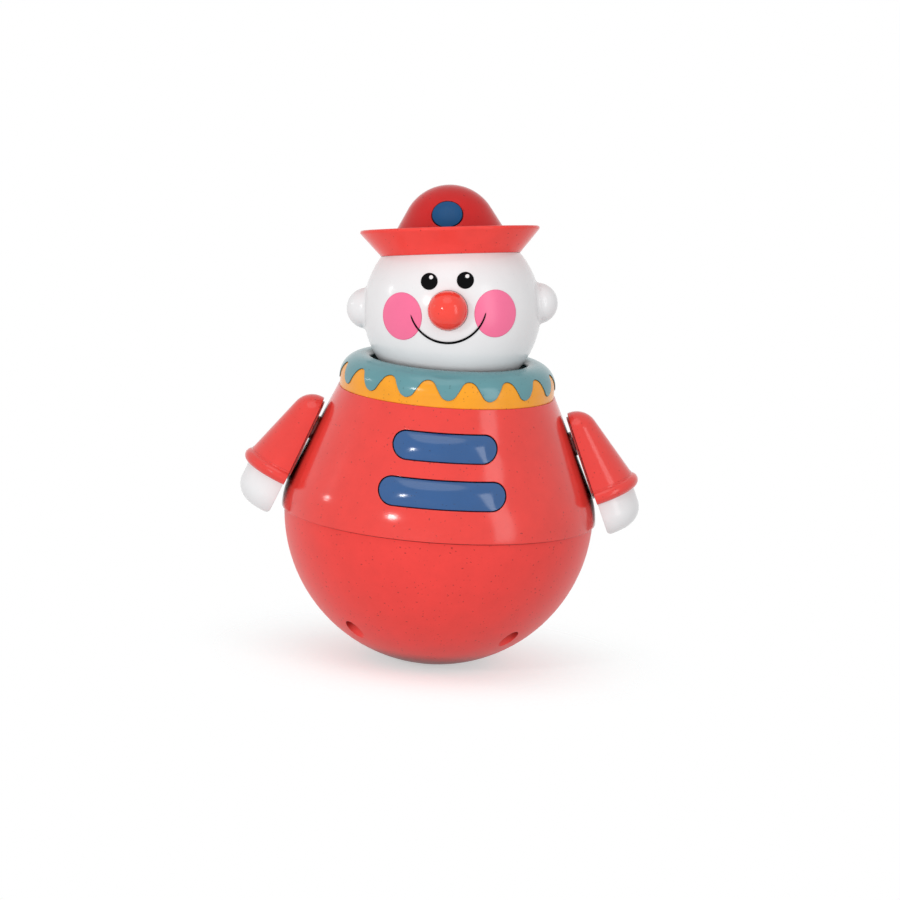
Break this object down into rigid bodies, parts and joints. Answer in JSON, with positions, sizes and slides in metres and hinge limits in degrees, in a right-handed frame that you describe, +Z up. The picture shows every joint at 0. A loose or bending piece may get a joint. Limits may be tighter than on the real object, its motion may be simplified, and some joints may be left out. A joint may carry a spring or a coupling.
{
  "type": "roly poly toy",
  "caption": "Weighted round-bottomed clown doll that rights itself, with a head on a ball neck that turns and rocks and arms that swing on slanted shoulder pivots.",
  "frame": {"origin": "middle of the small flat spot on the floor, under the middle of the round bowl", "axes": "+Z up through the body, -Y the way the face looks, +X towards the clown's own left arm"},
  "size_m": [0.1604, 0.1262, 0.1924],
  "materials": {
    "red_satin": "satin red plastic with fine dark flecks",
    "red_gloss": "glossy red plastic with fine dark flecks",
    "blue_gloss": "glossy blue plastic",
    "orange_gloss": "glossy yellow-orange plastic with fine dark flecks",
    "teal_gloss": "glossy grey-teal plastic",
    "white_gloss": "glossy white plastic",
    "black_print": "printed black ink",
    "white_print": "printed white ink",
    "pink_print": "printed pink ink",
    "iron": "rough cast",
    "steel": "zinc-plated"
  },
  "bodies": {
    "body": {"bowl": "red_satin", "torso": "red_gloss", "ballast": "iron", "ballast_screw": "steel", "body_screws": "steel", "bar_upper": "blue_gloss", "bar_lower": "blue_gloss", "collar_band": "orange_gloss", "collar_frill": "teal_gloss", "collar_screws": "steel", "neck_cup": "teal_gloss"},
    "neck": {"neck_stud": "white_gloss", "neck_washer": "steel", "neck_screw": "steel"},
    "head": {"head_front": "white_gloss", "head_back": "white_gloss", "nose": "red_gloss", "eye_prints": "black_print", "eye_glints": "white_print", "cheek_prints": "pink_print", "smile_print": "black_print", "hat": "red_gloss", "hat_badge": "blue_gloss", "hat_screw": "steel"},
    "arm_left": {"sleeve_left": "red_gloss", "arm_plate_left": "red_gloss", "hand_left": "white_gloss", "arm_washer_left": "steel", "arm_screw_left": "steel"},
    "arm_right": {"sleeve_right": "red_gloss", "arm_plate_right": "red_gloss", "hand_right": "white_gloss", "arm_washer_right": "steel", "arm_screw_right": "steel"}
  },
  "joints": [
    {"name": "head_turn", "type": "hinge", "parent": "body", "child": "neck", "pos_m": [0, 0, 0.14283], "axis": [0, 0, 1], "continuous": true},
    {"name": "head_rock", "type": "hinge", "parent": "neck", "child": "head", "pos_m": [0, 0, 0.14283], "axis": [0.8288, 0.5595, 0], "range_deg": [0, 19.3]},
    {"name": "arm_left_swing", "type": "hinge", "parent": "body", "child": "arm_left", "pos_m": [0.05268, 0, 0.09228], "axis": [0.924, 0, 0.3823], "continuous": true},
    {"name": "arm_right_swing", "type": "hinge", "parent": "body", "child": "arm_right", "pos_m": [-0.05268, 0, 0.09228], "axis": [-0.924, 0, 0.3823], "continuous": true}
  ]
}
